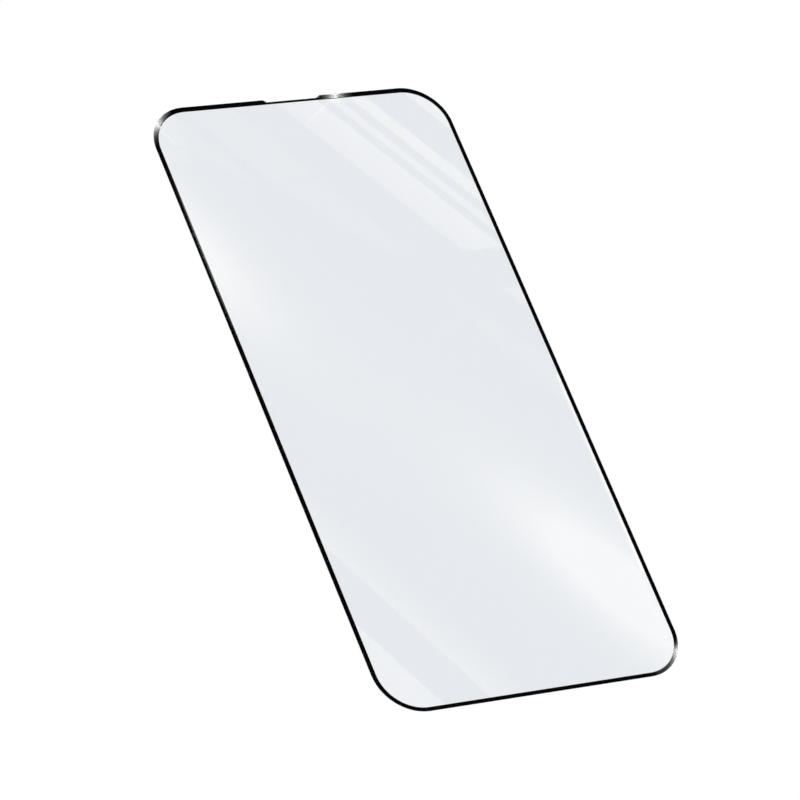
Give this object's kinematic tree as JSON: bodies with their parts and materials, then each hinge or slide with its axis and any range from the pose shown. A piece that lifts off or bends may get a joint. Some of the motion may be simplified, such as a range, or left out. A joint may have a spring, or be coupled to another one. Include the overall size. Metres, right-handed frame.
{
  "type": "phone screen protector",
  "caption": "Flat tempered-glass sheet with rounded corners, a ground edge, a shallow earpiece notch and a black printed border, laid over a phone's display to guard it.",
  "frame": {"origin": "middle of the underside, the face that goes on the phone", "axes": "+X across the phone, +Y along the phone towards the earpiece notch, +Z away from the display"},
  "size_m": [0.07, 0.1436, 0.0004],
  "materials": {
    "glass": "polished",
    "border_ink": "gloss"
  },
  "bodies": {
    "root": {"glass_sheet": "glass", "border_print": "border_ink"}
  },
  "joints": []
}
